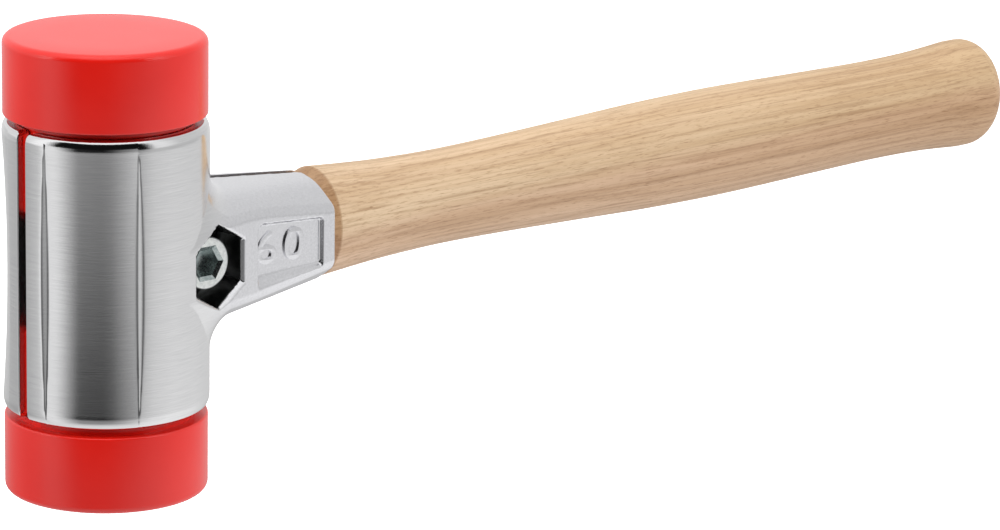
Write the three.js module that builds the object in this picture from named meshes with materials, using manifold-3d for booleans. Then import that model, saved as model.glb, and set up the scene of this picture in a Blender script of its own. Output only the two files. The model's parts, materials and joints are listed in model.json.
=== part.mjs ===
// Soft-face mallet: a two-part clamped metal housing, two replaceable striking faces and a wooden handle.
// Millimetres, +Z up along the head, +X along the handle. The origin is the centre of the lower striking face.
import * as THREE from 'three';
import { mergeVertices } from 'three/addons/utils/BufferGeometryUtils.js';
import { ConvexGeometry } from 'three/addons/geometries/ConvexGeometry.js';
import Module from 'manifold-3d';

// Clearances
const fitGap = 0.3;
const seatGap = 0.3;

// Striking faces
const faceDiameter = 60;
const faceHeight = 23;
const faceEdgeRadius = 1.5;
const collarDiameter = 57;
const collarHeight = 2.3;
const spigotDiameter = 51;
const spigotLength = 26;
const spigotChamfer = 1;

// Housing barrel
const barrelDiameter = 61;
const barrelLength = 85.7;
const barrelEdgeRadius = 2;
const partingGap = 3.5;
const webHoleDiameter = 16;

// Shallow relief on the front of each housing half, in degrees round from the slit
const reliefDepth = 1.6;
const reliefFrom = 16;
const reliefTo = 72;
const reliefFlatLength = 46;
const reliefLength = 78;

// Neck that holds the handle
const neckReach = 73.4;
const neckEndWidth = 34.8;
const neckEndHeight = 36.6;
const neckSideHeight = 17.8;
const neckRootHeight = 43.8;
const neckBendReach = 44;
const neckBendWidth = 39.6;
const flankStartReach = 8;
const gussetReach = 46;
const gussetStartReach = 14;
const gussetRidgeRise = 2;
const gussetFlankRise = 14;

// Size mark panel on the neck
const panelReach = 42.5;
const panelLength = 25;
const panelStartHeight = 16.2;
const panelEndHeight = 13.4;
const panelDepth = 1.2;
const numeralHeight = 10.4;
const numeralWidth = 5.9;
const numeralStroke = 1.3;
const numeralRise = 0.9;
const numeralPitch = 10;
const numeralInset = 3.8;
const sixBowlShare = 0.56;
const sixTailInset = 0.4;

// Clamp screw, washer and nut
const screwReach = 22.3;
const screwDiameter = 10;
const screwLength = 30;
const screwHeadDiameter = 16;
const screwHeadHeight = 10;
const screwHeadChamfer = 0.8;
const screwTipChamfer = 1;
const socketAcrossFlats = 8;
const socketDepth = 5;
const screwHoleClearance = 0.5;
const washerDiameter = 20;
const washerThickness = 2;
const nutAcrossFlats = 17;
const nutHeight = 8;
const screwPocketAcrossFlats = 21.6;
const wallUnderHead = 5.5;
const wallUnderNut = 8;

// Handle, as half-heights at distances from the head axis
const handleReach = 371.5;
const handleWidthRatio = 0.86;
const socketEndWall = 4.3;
const tenonEndRadius = 11.2;
const tenonMouthRadius = 12.2;
const shoulderStartRadius = 15.4;
const shoulderReach = 78.5;
const shoulderRadius = 17;
const waistReach = 126;
const waistRadius = 14.75;
const swellReach = 248;
const swellRadius = 17.6;
const gripReach = 318;
const gripRadius = 16.55;
const flareReach = 358;
const flareRadius = 18.1;
const buttRadius = 8;

// Facets
const roundSegments = 72;
const smallSegments = 32;
const handleSegments = 40;
const gripSteps = 22;
const numeralSteps = 24;
const arcSteps = 4;

// Sizes worked out from the driving dimensions
const faceRadius = faceDiameter / 2;
const spigotRadius = spigotDiameter / 2;
const barrelRadius = barrelDiameter / 2;
const barrelHalf = barrelLength / 2;
const headHalf = barrelHalf + seatGap + collarHeight + faceHeight;
const spigotBoreDepth = spigotLength - seatGap + fitGap;
const halfInset = partingGap / 2;
const pocketFloor = halfInset + wallUnderHead;
const washerSeat = pocketFloor + seatGap;
const headSeat = washerSeat + washerThickness + seatGap;
const nutFloor = halfInset + wallUnderNut;
const nutSeat = nutFloor + seatGap;
const shoulderPlane = neckReach + seatGap;
const socketEnd = screwReach + screwPocketAcrossFlats / 2 + socketEndWall;
const tenonEnd = socketEnd + seatGap;
const beyond = 60;

const wasm = await Module();
wasm.setup();

// A closed geometry as a solid, with its shared vertices merged and its faces turned outward
function solidOf(geometry) {
  const bare = geometry.clone();
  bare.deleteAttribute('normal');
  bare.deleteAttribute('uv');
  const merged = mergeVertices(bare, 1e-4);
  const corners = merged.attributes.position.array;
  const triangles = [];
  let volume = 0;
  const a = new THREE.Vector3();
  const b = new THREE.Vector3();
  const c = new THREE.Vector3();
  for (let i = 0; i < merged.index.count; i += 3) {
    const [p, q, r] = merged.index.array.slice(i, i + 3);
    if (p === q || q === r || r === p) continue;
    triangles.push([p, q, r]);
    a.fromArray(corners, p * 3);
    b.fromArray(corners, q * 3);
    c.fromArray(corners, r * 3);
    volume += a.dot(b.cross(c));
  }
  const outward = volume > 0 ? triangles : triangles.map(([p, q, r]) => [p, r, q]);
  return new wasm.Manifold(new wasm.Mesh({
    numProp: 3,
    vertProperties: new Float32Array(corners),
    triVerts: new Uint32Array(outward.flat()),
  }));
}

function geometryOf(solid) {
  const shape = solid.getMesh();
  const geometry = new THREE.BufferGeometry();
  geometry.setAttribute('position', new THREE.BufferAttribute(shape.vertProperties, 3));
  geometry.setIndex(new THREE.BufferAttribute(shape.triVerts, 1));
  geometry.computeVertexNormals();
  return geometry;
}

// A named mesh of a finished solid
function meshOf(name, solid, material) {
  const mesh = new THREE.Mesh(geometryOf(solid), material);
  mesh.name = name;
  return mesh;
}

// A quarter arc of a profile, from one angle to another about a centre
function arc(x, y, radius, fromDegrees, toDegrees, steps = arcSteps) {
  const from = THREE.MathUtils.degToRad(fromDegrees);
  const to = THREE.MathUtils.degToRad(toDegrees);
  const curve = new THREE.EllipseCurve(x, y, radius, radius, from, to, to < from);
  return curve.getPoints(steps);
}

// A turned shape: its profile is radius by distance along the axis, and the axis is +Y
function turned(profile, segments = roundSegments) {
  return new THREE.LatheGeometry(profile, segments);
}

// The same with the axis along +Z
function turnedUp(profile, segments = roundSegments) {
  return turned(profile, segments).rotateX(Math.PI / 2);
}

function point(x, y) {
  return new THREE.Vector2(x, y);
}

// A prism along +Z of an outline in X and Y
function prism(outline, bottom, top) {
  const shape = new THREE.Shape(outline);
  const geometry = new THREE.ExtrudeGeometry(shape, { depth: top - bottom, bevelEnabled: false });
  return geometry.translate(0, 0, bottom);
}

// A rod along +Y between two places
function rodAlongY(radius, from, to, segments = smallSegments) {
  const rod = new THREE.CylinderGeometry(radius, radius, to - from, segments);
  return rod.translate(0, (from + to) / 2, 0);
}

// A hexagonal rod along +Y with two corners straight up and down
function hexAlongY(acrossFlats, from, to) {
  return rodAlongY(acrossFlats / Math.sqrt(3), from, to, 6);
}

// Half-width of the neck's flank at a distance from the head axis
const flankStartHalf = Math.sqrt(barrelRadius ** 2 - flankStartReach ** 2);
function flankAt(reach) {
  if (reach > neckBendReach) {
    const along = (reach - neckBendReach) / (neckReach - neckBendReach);
    return THREE.MathUtils.lerp(neckBendWidth / 2, neckEndWidth / 2, along);
  }
  const along = (reach - flankStartReach) / (neckBendReach - flankStartReach);
  return THREE.MathUtils.lerp(flankStartHalf, neckBendWidth / 2, along);
}

// Height of the neck's slanted roof above the handle axis
const roofSlope = (neckEndHeight - neckSideHeight) / neckEndWidth;
const ridgeSlope = (neckRootHeight - neckEndHeight) / 2 / (neckReach - barrelRadius);
function roofAt(reach, across) {
  return neckEndHeight / 2 + ridgeSlope * (neckReach - reach) - roofSlope * across;
}

// The neck: straight flanks under a slanted roof and over a slanted floor, with a gusset at its root
function neckSolid() {
  const outline = [point(0, 0)];
  for (const reach of [flankStartReach, neckBendReach, neckReach]) outline.push(point(reach, -flankAt(reach)));
  outline.push(point(neckReach, 0));
  const corners = { body: [], gusset: [] };
  for (const [across, gussetRise] of [[0, gussetRidgeRise], [barrelRadius, gussetFlankRise]]) {
    for (const up of [1, -1]) {
      const corner = (reach, rise) => new THREE.Vector3(reach, -across, up * (roofAt(reach, across) + rise));
      corners.body.push(corner(0, 0), corner(neckReach, 0));
      corners.gusset.push(corner(gussetStartReach, gussetRise), corner(gussetReach, 0));
    }
  }
  const roofed = solidOf(new ConvexGeometry(corners.body)).add(solidOf(new ConvexGeometry(corners.gusset)));
  return solidOf(prism(outline, -barrelHalf, barrelHalf)).intersect(roofed);
}

// The barrel with its rounded ends and, on the -Y side, the relief on its front
function barrelSolid() {
  const rounded = barrelRadius - barrelEdgeRadius;
  const bend = barrelHalf - barrelEdgeRadius;
  const body = solidOf(turnedUp([
    point(0, -barrelHalf),
    ...arc(rounded, -bend, barrelEdgeRadius, -90, 0),
    ...arc(rounded, bend, barrelEdgeRadius, 0, 90),
    point(0, barrelHalf),
  ]));
  const low = barrelRadius - reliefDepth;
  const ring = solidOf(turnedUp([
    point(barrelRadius, -reliefLength / 2),
    point(beyond, -reliefLength / 2),
    point(beyond, reliefLength / 2),
    point(barrelRadius, reliefLength / 2),
    point(low, reliefFlatLength / 2),
    point(low, -reliefFlatLength / 2),
    point(barrelRadius, -reliefLength / 2),
  ]));
  const start = THREE.MathUtils.degToRad(180 + reliefFrom);
  const end = THREE.MathUtils.degToRad(180 + reliefTo);
  const sector = solidOf(prism([
    point(0, 0),
    point(beyond * Math.cos(start), beyond * Math.sin(start)),
    point(beyond * Math.cos(end), beyond * Math.sin(end)),
  ], -barrelHalf, barrelHalf));
  return body.subtract(ring.intersect(sector));
}

// Everything on the -Y side of the parting gap
function screwSideSolid() {
  const size = 4 * beyond;
  const box = new THREE.BoxGeometry(size, size, size);
  return solidOf(box.translate(0, -halfInset - size / 2, 0));
}

// The two spigot bores and the hole through the web between them
function boreSolid() {
  const radius = spigotRadius + fitGap;
  const webHalf = barrelHalf - spigotBoreDepth;
  const hole = webHoleDiameter / 2;
  return solidOf(turnedUp([
    point(0, -beyond),
    point(radius, -beyond),
    point(radius, -webHalf),
    point(hole, -webHalf),
    point(hole, webHalf),
    point(radius, webHalf),
    point(radius, beyond),
    point(0, beyond),
  ]));
}

// The handle's outline from the tenon to the butt, as half-height by distance from the head axis
function handleProfile() {
  const grip = new THREE.SplineCurve([
    point(shoulderRadius, shoulderReach),
    point(waistRadius, waistReach),
    point(swellRadius, swellReach),
    point(gripRadius, gripReach),
    point(flareRadius, flareReach),
  ]);
  return [
    point(0, tenonEnd),
    point(tenonEndRadius, tenonEnd),
    point(tenonMouthRadius, shoulderPlane),
    point(shoulderStartRadius, shoulderPlane),
    ...grip.getPoints(gripSteps),
    ...arc(flareRadius - buttRadius, handleReach - buttRadius, buttRadius, 0, 90),
    point(0, handleReach),
  ];
}

// The handle lies along +X and is narrower across than it is high
function handleShape(profile) {
  return turned(profile, handleSegments).rotateZ(-Math.PI / 2).scale(1, handleWidthRatio, 1);
}

// The tapered socket that the tenon sits in
function socketSolid() {
  const taper = (tenonMouthRadius - tenonEndRadius) / (shoulderPlane - tenonEnd);
  const gap = fitGap / handleWidthRatio;
  const mouth = neckReach + fitGap;
  const radiusAt = (reach) => tenonMouthRadius + gap + taper * (reach - shoulderPlane);
  return solidOf(handleShape([
    point(0, socketEnd),
    point(radiusAt(socketEnd), socketEnd),
    point(radiusAt(mouth), mouth),
    point(0, mouth),
  ]));
}

// Lays a geometry from the panel's own plane, X along and Y up, onto the -Y flank of the neck
function onFlank(geometry) {
  const lean = Math.atan2(flankAt(neckBendReach) - flankAt(neckReach), neckReach - neckBendReach);
  const middle = panelReach + panelLength / 2;
  return geometry.rotateX(Math.PI / 2).rotateZ(lean).translate(middle, -flankAt(middle), 0);
}

// The sunk panel, which narrows towards the handle
function panelSolid() {
  const half = panelLength / 2;
  const outline = [
    point(-half, -panelStartHeight / 2),
    point(half, -panelEndHeight / 2),
    point(half, panelEndHeight / 2),
    point(-half, panelStartHeight / 2),
  ];
  return solidOf(onFlank(prism(outline, -panelDepth, beyond)));
}

// A raised mark in the panel's own plane, rooted in the panel's floor
function markSolid(outline) {
  return solidOf(prism(outline, -panelDepth - fitGap, numeralRise - panelDepth));
}

// An oval ring of one stroke's width
function ringSolid(x, y, halfWidth, halfHeight) {
  const oval = (inset) => {
    const curve = new THREE.EllipseCurve(x, y, halfWidth - inset, halfHeight - inset);
    return curve.getPoints(numeralSteps).slice(1);
  };
  return markSolid(oval(0)).subtract(solidOf(prism(oval(numeralStroke), -beyond, beyond)));
}

// The size mark: the face diameter as two raised numerals, a six and a nought
function sizeMarkSolid() {
  const wide = numeralWidth / 2;
  const tall = numeralHeight / 2;
  const sixMiddle = numeralInset - panelLength / 2;
  const noughtMiddle = sixMiddle + numeralPitch;
  const bowl = tall * sixBowlShare;
  const bowlMiddle = bowl - tall;
  const sweep = (inset) => {
    const across = 2 * wide - sixTailInset - inset;
    const up = tall - bowlMiddle - inset;
    const curve = new THREE.EllipseCurve(sixMiddle + wide, bowlMiddle, across, up, Math.PI, Math.PI / 2, true);
    return curve.getPoints(numeralSteps / 2);
  };
  const flat = ringSolid(noughtMiddle, 0, wide, tall)
    .add(ringSolid(sixMiddle, bowlMiddle, wide, bowl))
    .add(markSolid([...sweep(0), ...sweep(numeralStroke).reverse()]));
  return solidOf(onFlank(geometryOf(flat)));
}

// Both housing halves start as the same shape on the -Y side
function halfBlank() {
  return barrelSolid().add(neckSolid()).intersect(screwSideSolid())
    .subtract(boreSolid()).subtract(socketSolid()).subtract(panelSolid());
}

function screwHoleSolid() {
  const radius = screwDiameter / 2 + screwHoleClearance;
  return solidOf(rodAlongY(radius, -beyond, beyond).translate(screwReach, 0, 0));
}

// The half that the screw's head sits in, with the size mark
function screwHalf() {
  const pocket = hexAlongY(screwPocketAcrossFlats, -beyond, -pocketFloor).translate(screwReach, 0, 0);
  return halfBlank().subtract(screwHoleSolid()).subtract(solidOf(pocket)).add(sizeMarkSolid());
}

// The half that holds the nut, on the +Y side
function nutHalf() {
  const pocket = hexAlongY(nutAcrossFlats + 2 * fitGap, nutFloor, beyond).translate(screwReach, 0, 0);
  const blank = solidOf(geometryOf(halfBlank()).scale(1, -1, 1));
  return blank.subtract(screwHoleSolid()).subtract(solidOf(pocket));
}

// A striking face that points up, with its collar on the plane z = 0 and its spigot below
function faceSolid() {
  const rounded = faceRadius - faceEdgeRadius;
  const top = collarHeight + faceHeight;
  return solidOf(turnedUp([
    point(0, -spigotLength),
    point(spigotRadius - spigotChamfer, -spigotLength),
    point(spigotRadius, spigotChamfer - spigotLength),
    point(spigotRadius, 0),
    point(collarDiameter / 2, 0),
    point(collarDiameter / 2, collarHeight),
    point(faceRadius, collarHeight),
    ...arc(rounded, top - faceEdgeRadius, faceEdgeRadius, 0, 90),
    point(0, top),
  ]));
}

// The clamp screw along +Y, with its head's underside on the plane y = 0
function screwSolid() {
  const head = screwHeadDiameter / 2;
  const shank = screwDiameter / 2;
  const body = solidOf(turned([
    point(0, -screwHeadHeight),
    point(head - screwHeadChamfer, -screwHeadHeight),
    point(head, screwHeadChamfer - screwHeadHeight),
    point(head, 0),
    point(shank, 0),
    point(shank, screwLength - screwTipChamfer),
    point(shank - screwTipChamfer, screwLength),
    point(0, screwLength),
  ], smallSegments));
  const socket = hexAlongY(socketAcrossFlats, -beyond, socketDepth - screwHeadHeight).rotateY(Math.PI / 6);
  return body.subtract(solidOf(socket));
}

// A ring along +Y, cut from a blank by a hole that clears the screw
function boredSolid(blank) {
  return solidOf(blank).subtract(solidOf(rodAlongY(screwDiameter / 2 + fitGap, -beyond, beyond)));
}

const metal = new THREE.MeshStandardMaterial({ color: 0xc6c6c8, roughness: 0.3, metalness: 1 });
const zinc = new THREE.MeshStandardMaterial({ color: 0xb4b8b6, roughness: 0.35, metalness: 1 });
const plastic = new THREE.MeshStandardMaterial({ color: 0xd6261c, roughness: 0.35, metalness: 0 });
const wood = new THREE.MeshStandardMaterial({ color: 0xd4ac80, roughness: 0.55, metalness: 0 });

// The head's centre is half the head's length above the lower striking face
const mallet = new THREE.Group();
const head = new THREE.Group();
head.position.z = headHalf;
mallet.add(head);

head.add(meshOf('housing_screw_side', screwHalf(), metal));
head.add(meshOf('housing_nut_side', nutHalf(), metal));

const upperFace = meshOf('upper_face', faceSolid(), plastic);
upperFace.position.z = barrelHalf + seatGap;
head.add(upperFace);

const lowerFace = meshOf('lower_face', faceSolid(), plastic);
lowerFace.position.z = -barrelHalf - seatGap;
lowerFace.rotation.x = Math.PI;
head.add(lowerFace);

const screw = meshOf('clamp_screw', screwSolid(), zinc);
screw.position.set(screwReach, -headSeat, 0);
head.add(screw);

const washer = meshOf('screw_washer', boredSolid(rodAlongY(washerDiameter / 2, 0, washerThickness)), zinc);
washer.position.set(screwReach, -washerSeat - washerThickness, 0);
head.add(washer);

const nut = meshOf('clamp_nut', boredSolid(hexAlongY(nutAcrossFlats, 0, nutHeight)), zinc);
nut.position.set(screwReach, nutSeat, 0);
head.add(nut);

head.add(meshOf('handle', solidOf(handleShape(handleProfile())), wood));

export default mallet;
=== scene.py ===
# Soft-face mallet: cast two-part housing, red striking faces, clamp screw and wooden handle
import bpy
import bmesh
import json
import math
import numpy as np
from mathutils import Matrix, Vector


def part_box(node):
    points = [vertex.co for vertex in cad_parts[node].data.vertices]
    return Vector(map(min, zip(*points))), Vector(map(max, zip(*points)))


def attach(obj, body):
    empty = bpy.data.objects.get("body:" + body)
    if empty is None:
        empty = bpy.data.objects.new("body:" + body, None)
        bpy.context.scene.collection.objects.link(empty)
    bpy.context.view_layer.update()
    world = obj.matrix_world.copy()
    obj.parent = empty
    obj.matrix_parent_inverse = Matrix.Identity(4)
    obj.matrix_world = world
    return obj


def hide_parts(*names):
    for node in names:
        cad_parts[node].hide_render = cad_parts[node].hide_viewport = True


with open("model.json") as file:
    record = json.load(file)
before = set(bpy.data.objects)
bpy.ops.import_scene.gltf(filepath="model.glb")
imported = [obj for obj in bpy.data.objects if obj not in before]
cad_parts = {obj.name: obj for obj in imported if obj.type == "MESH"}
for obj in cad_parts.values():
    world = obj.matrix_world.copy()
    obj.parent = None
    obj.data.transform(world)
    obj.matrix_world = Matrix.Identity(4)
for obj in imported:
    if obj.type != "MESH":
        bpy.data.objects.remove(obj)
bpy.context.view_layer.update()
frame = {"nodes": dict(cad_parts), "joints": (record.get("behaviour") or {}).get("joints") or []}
mm = 0.001
weld = 1e-7  # points nearer than this are one, in metres
cadWeld = 1e-6
tiny = 1e-9  # keeps a division away from zero

# Places that every piece is set out from
housingLow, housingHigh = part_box("housing_screw_side")
headMiddle = (housingLow.z + housingHigh.z) / 2
barrelRadius = -housingLow.y
barrelHalf = (housingHigh.z - housingLow.z) / 2
neckReach = housingHigh.x
halfInset = -housingHigh.y
screwJoint = [joint for joint in frame["joints"] if joint["name"] == "screw_turn"][0]
screwReach = screwJoint["pos_m"][0]
screwLow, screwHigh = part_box("clamp_screw")


def addPiece(name, mesh, body, node, material, smoothAngle=None):
    piece = bpy.data.objects.new(name, mesh)
    bpy.context.scene.collection.objects.link(piece)
    mesh.materials.clear()
    mesh.materials.append(material)
    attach(piece, body)
    if node:
        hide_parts(node)
    if smoothAngle is not None:
        mesh.shade_smooth()
        mesh.set_sharp_from_angle(angle=math.radians(smoothAngle))


def meshFrom(bm, name):
    bmesh.ops.remove_doubles(bm, verts=bm.verts, dist=weld)
    bmesh.ops.recalc_face_normals(bm, faces=bm.faces)
    mesh = bpy.data.meshes.new(name)
    bm.to_mesh(mesh)
    bm.free()
    return mesh


# A turned shape: the outline is (radius, height) pairs and turns about +Z
def turnOutline(outline, segments):
    bm = bmesh.new()
    verts = [bm.verts.new((radius, 0, height)) for radius, height in outline]
    edges = [bm.edges.new(pair) for pair in zip(verts, verts[1:])]
    bmesh.ops.spin(bm, geom=verts + edges, cent=(0, 0, 0), axis=(0, 0, 1),
                   angle=math.tau, steps=segments, use_merge=True)
    bmesh.ops.remove_doubles(bm, verts=bm.verts, dist=weld)
    return bm


# A turned shape laid along +Y, as the screw, washer and nut are
def layAlongY(bm, start):
    turn = Matrix.Rotation(math.radians(-90), 3, "X")
    bmesh.ops.rotate(bm, verts=bm.verts, cent=(0, 0, 0), matrix=turn)
    bmesh.ops.translate(bm, verts=bm.verts, vec=(screwReach, start, headMiddle))


# Part of a circle in an outline, from one angle to another
def arc(radius, height, bend, start, end, steps=6):
    angles = [math.radians(start + (end - start) * i / steps) for i in range(steps + 1)]
    return [(radius + bend * math.cos(a), height + bend * math.sin(a)) for a in angles]


def newMaterial(name):
    material = bpy.data.materials.new(name)
    material.use_nodes = True
    nodes = material.node_tree.nodes
    return material, nodes, material.node_tree.links, nodes["Principled BSDF"]


# Object coordinates stretched along the axes
def stretched(nodes, links, scale=(1, 1, 1)):
    place = nodes.new("ShaderNodeTexCoord")
    mapping = nodes.new("ShaderNodeMapping")
    mapping.inputs["Scale"].default_value = scale
    links.new(place.outputs["Object"], mapping.inputs["Vector"])
    return mapping.outputs["Vector"]


def noiseOn(nodes, links, vector, scale, detail=3, roughness=0.5):
    noise = nodes.new("ShaderNodeTexNoise")
    noise.inputs["Scale"].default_value = scale
    noise.inputs["Detail"].default_value = detail
    noise.inputs["Roughness"].default_value = roughness
    links.new(vector, noise.inputs["Vector"])
    return noise.outputs["Fac"]


def rampOn(nodes, links, factor, stops):
    ramp = nodes.new("ShaderNodeValToRGB")
    while len(ramp.color_ramp.elements) < len(stops):
        ramp.color_ramp.elements.new(0.5)
    for element, (position, colour) in zip(ramp.color_ramp.elements, stops):
        element.position = position
        element.color = (*colour, 1)
    links.new(factor, ramp.inputs["Fac"])
    return ramp.outputs["Color"]


def spread(nodes, links, factor, low, high, start=0.0, end=1.0):
    span = nodes.new("ShaderNodeMapRange")
    span.inputs["From Min"].default_value = start
    span.inputs["From Max"].default_value = end
    span.inputs["To Min"].default_value = low
    span.inputs["To Max"].default_value = high
    links.new(factor, span.inputs["Value"])
    return span.outputs["Result"]


def socketOf(sockets, identifier):
    return [socket for socket in sockets if socket.identifier == identifier][0]


def mixColours(nodes, links, factor, first, second, blend="MIX"):
    mix = nodes.new("ShaderNodeMix")
    mix.data_type = "RGBA"
    mix.blend_type = blend
    share = socketOf(mix.inputs, "Factor_Float")
    if isinstance(factor, float):
        share.default_value = factor
    else:
        links.new(factor, share)
    for name, value in (("A_Color", first), ("B_Color", second)):
        if isinstance(value, tuple):
            socketOf(mix.inputs, name).default_value = (*value, 1)
        else:
            links.new(value, socketOf(mix.inputs, name))
    return socketOf(mix.outputs, "Result_Color")


def mixNumbers(nodes, links, factor, first, second):
    mix = nodes.new("ShaderNodeMix")
    links.new(factor, socketOf(mix.inputs, "Factor_Float"))
    links.new(first, socketOf(mix.inputs, "A_Float"))
    links.new(second, socketOf(mix.inputs, "B_Float"))
    return socketOf(mix.outputs, "Result_Float")


def calculate(nodes, links, operation, first, second=None):
    step = nodes.new("ShaderNodeMath")
    step.operation = operation
    for socket, value in zip(step.inputs, (first, second)):
        if isinstance(value, (int, float)):
            socket.default_value = value
        elif value is not None:
            links.new(value, socket)
    return step.outputs["Value"]


def bumpOn(nodes, links, shader, height, distance, strength=1.0):
    bump = nodes.new("ShaderNodeBump")
    bump.inputs["Distance"].default_value = distance
    bump.inputs["Strength"].default_value = strength
    links.new(height, bump.inputs["Height"])
    links.new(bump.outputs["Normal"], shader.inputs["Normal"])


# Housing metal: the barrel is brushed level all round, the neck is left as a satin casting
housingMetal = {"brushLight": (0.84, 0.84, 0.845), "brushDark": (0.74, 0.74, 0.75),
                "castLight": (0.84, 0.84, 0.865), "castDark": (0.76, 0.76, 0.785),
                "brushRough": (0.16, 0.22), "castRough": (0.18, 0.25), "anisotropy": 0.6,
                "pocketShadeTone": (0.3, 0.3, 0.305), "castFrom": 30.7 * mm, "castTo": 37 * mm,
                "rimPolish": 0.4, "rimFrom": 4.6 * mm, "rimTo": 3.2 * mm,
                "lineScale": (110, 110, 4600), "cloudScale": 70, "grainScale": 1500, "fleckScale": 2600,
                "scratchDepth": 0.01 * mm, "fleck": 1.1}


def castAndBrushed():
    m = housingMetal
    material, nodes, links, shader = newMaterial("castAndBrushedAluminium")
    place = stretched(nodes, links)
    lines = noiseOn(nodes, links, stretched(nodes, links, m["lineScale"]), 1.0, 4, 0.65)
    clouds = noiseOn(nodes, links, place, m["cloudScale"], 3)
    grain = noiseOn(nodes, links, place, m["grainScale"], 3, 0.6)
    flat = nodes.new("ShaderNodeVectorMath")
    flat.operation = "LENGTH"
    links.new(stretched(nodes, links, (1, 1, 0)), flat.inputs[0])
    cast = spread(nodes, links, flat.outputs["Value"], 0, 1, m["castFrom"], m["castTo"])
    brushTone = rampOn(nodes, links, lines, [(0.3, m["brushDark"]), (0.7, m["brushLight"])])
    castTone = rampOn(nodes, links, grain, [(0.3, m["castDark"]), (0.7, m["castLight"])])
    tone = mixColours(nodes, links, cast, brushTone, castTone)
    # Painted shade: the pocket walls are darkened towards a grey tone by the per-point pocket attribute
    pocketShade = nodes.new("ShaderNodeAttribute")
    pocketShade.attribute_name = "pocketShade"
    tone = mixColours(nodes, links, pocketShade.outputs["Fac"], tone, m["pocketShadeTone"])
    links.new(tone, shader.inputs["Base Color"])
    brushRough = spread(nodes, links, clouds, *m["brushRough"])
    castRough = spread(nodes, links, grain, *m["castRough"])
    axes = nodes.new("ShaderNodeSeparateXYZ")
    links.new(place, axes.inputs["Vector"])
    above = calculate(nodes, links, "SUBTRACT", axes.outputs["Z"], headMiddle)
    rim = spread(nodes, links, calculate(nodes, links, "ABSOLUTE", above), 1, m["rimPolish"],
                 barrelHalf - m["rimFrom"], barrelHalf - m["rimTo"])
    rough = mixNumbers(nodes, links, cast, brushRough, castRough)
    links.new(calculate(nodes, links, "MULTIPLY", rough, rim), shader.inputs["Roughness"])
    shader.inputs["Metallic"].default_value = 1
    shader.inputs["Anisotropic"].default_value = m["anisotropy"]
    upTheHead = nodes.new("ShaderNodeCombineXYZ")
    upTheHead.inputs["Z"].default_value = 1
    links.new(upTheHead.outputs["Vector"], shader.inputs["Tangent"])
    flecks = noiseOn(nodes, links, place, m["fleckScale"], 2, 0.6)
    flecks = calculate(nodes, links, "MULTIPLY", flecks, m["fleck"])
    brushed = calculate(nodes, links, "ADD", lines, flecks)
    bumpOn(nodes, links, shader, mixNumbers(nodes, links, cast, brushed, grain), m["scratchDepth"])
    return material


# Zinc plating on the screw, washer and nut
zinc = {"tone": (0.93, 0.95, 0.93), "shade": (0.70, 0.73, 0.72), "rough": (0.25, 0.42)}
# Painted shade: a darker copy of the zinc for the faces down in the screw's socket
socketShadeZinc = {"tone": (0.58, 0.64, 0.63), "shade": (0.34, 0.40, 0.40), "rough": (0.2, 0.34)}
zincGrain = {"scale": 900, "depth": 0.015 * mm}


def zincPlate(name, finish):
    material, nodes, links, shader = newMaterial(name)
    grain = noiseOn(nodes, links, stretched(nodes, links), zincGrain["scale"], 4, 0.6)
    tone = rampOn(nodes, links, grain, [(0.3, finish["shade"]), (0.62, finish["tone"])])
    links.new(tone, shader.inputs["Base Color"])
    links.new(spread(nodes, links, grain, *finish["rough"]), shader.inputs["Roughness"])
    shader.inputs["Metallic"].default_value = 1
    bumpOn(nodes, links, shader, grain, zincGrain["depth"])
    return material


# Red moulded plastic of the striking faces
redPlastic = {"tone": (0.65, 0.0085, 0.004), "pale": (0.69, 0.0115, 0.006), "rough": (0.20, 0.30), "ior": 1.6,
              "cloudScale": 40, "grainScale": 1400, "grainDepth": 0.006 * mm}


def redMoulding():
    r = redPlastic
    material, nodes, links, shader = newMaterial("redMoulding")
    clouds = noiseOn(nodes, links, stretched(nodes, links), r["cloudScale"], 4)
    grain = noiseOn(nodes, links, stretched(nodes, links), r["grainScale"], 2)
    tone = rampOn(nodes, links, clouds, [(0.35, r["tone"]), (0.65, r["pale"])])
    links.new(tone, shader.inputs["Base Color"])
    links.new(spread(nodes, links, clouds, *r["rough"]), shader.inputs["Roughness"])
    shader.inputs["IOR"].default_value = r["ior"]
    bumpOn(nodes, links, shader, grain, r["grainDepth"])
    return material


# Pale straight-grained hardwood: the upper zone is yellow, the lower one pinker, streaks run along +X;
# towards the butt the colour is darkened as painted shade of the light falling off
hardwood = {"yellow": (0.65, 0.485, 0.32), "pink": (0.62, 0.43, 0.29), "band": (0.44, 0.28, 0.165),
            "butt": (0.81, 0.75, 0.66), "buttFrom": 120 * mm, "buttTo": 350 * mm,
            "line": (0.71, 0.645, 0.58), "streak": (0.885, 0.845, 0.79),
            "pore": (0.60, 0.50, 0.40), "ring": (0.70, 0.58, 0.46),
            "rough": (0.44, 0.60), "poreDepth": 0.04 * mm, "zoneHeight": 67.5 * mm, "zoneLean": -0.02,
            "zoneSoft": 2.5 * mm, "zoneWander": 9 * mm, "shoulderFrom": 77.9 * mm, "shoulderTo": 78.6 * mm,
            "wanderScale": (9, 40, 40), "bandScale": (2.4, 95, 95), "lineScale": (9, 1100, 1100),
            "poreScale": (260, 3600, 3600), "streakScale": (4, 330, 330)}


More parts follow.
